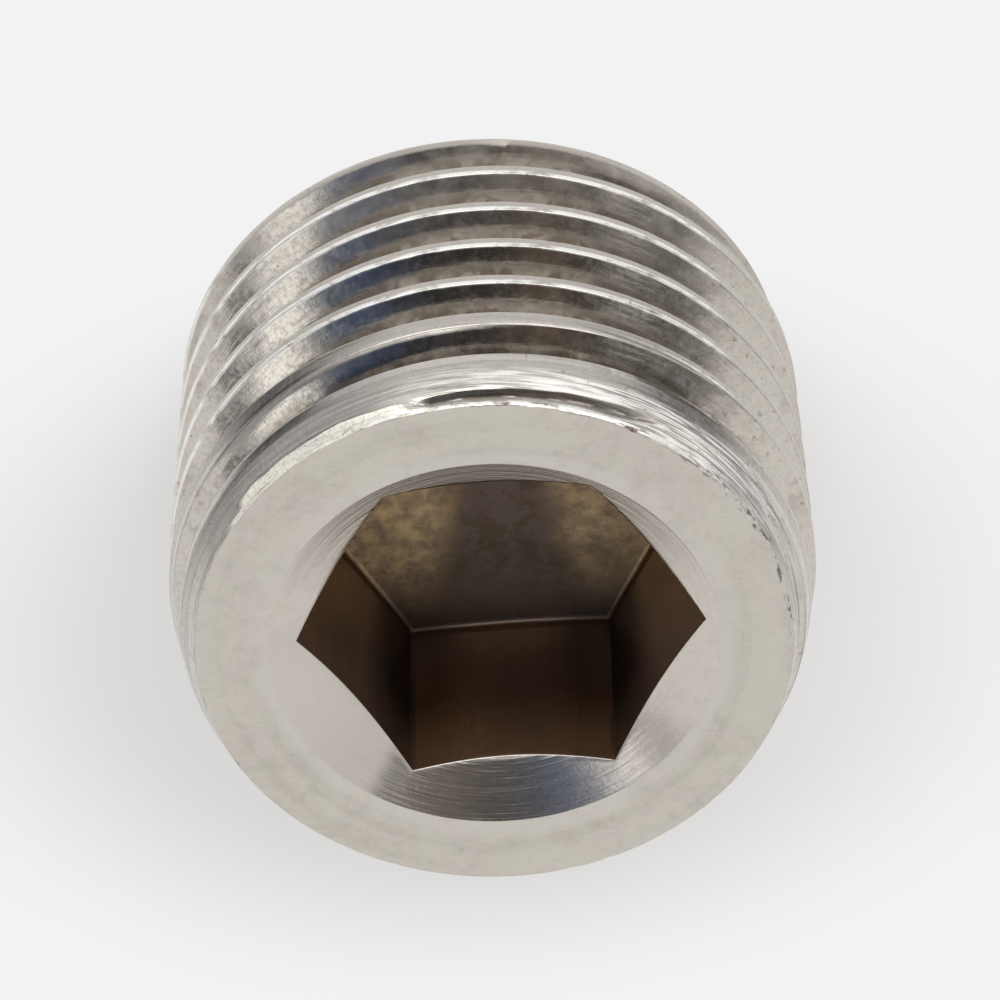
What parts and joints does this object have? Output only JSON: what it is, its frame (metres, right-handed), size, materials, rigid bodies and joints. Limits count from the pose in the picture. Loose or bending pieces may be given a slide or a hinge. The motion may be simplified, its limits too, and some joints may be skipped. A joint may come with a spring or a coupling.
{
  "type": "hexagon socket pipe plug",
  "caption": "Headless steel pipe plug with a 1:16 taper pipe thread and a hexagon socket in its larger end, for closing a threaded port.",
  "frame": {"origin": "centre of the nose face, the small end of the taper, which the plug stands on", "axes": "+Z along the plug's axis from the nose to the socket face; two opposite corners of the hexagon point along +X and -X"},
  "size_m": [0.0132, 0.0132, 0.01],
  "materials": {
    "turned_steel": "turned stainless steel, fine tool marks, light handling scratches"
  },
  "bodies": {
    "root": {"pipe_plug": "turned_steel"}
  },
  "joints": []
}
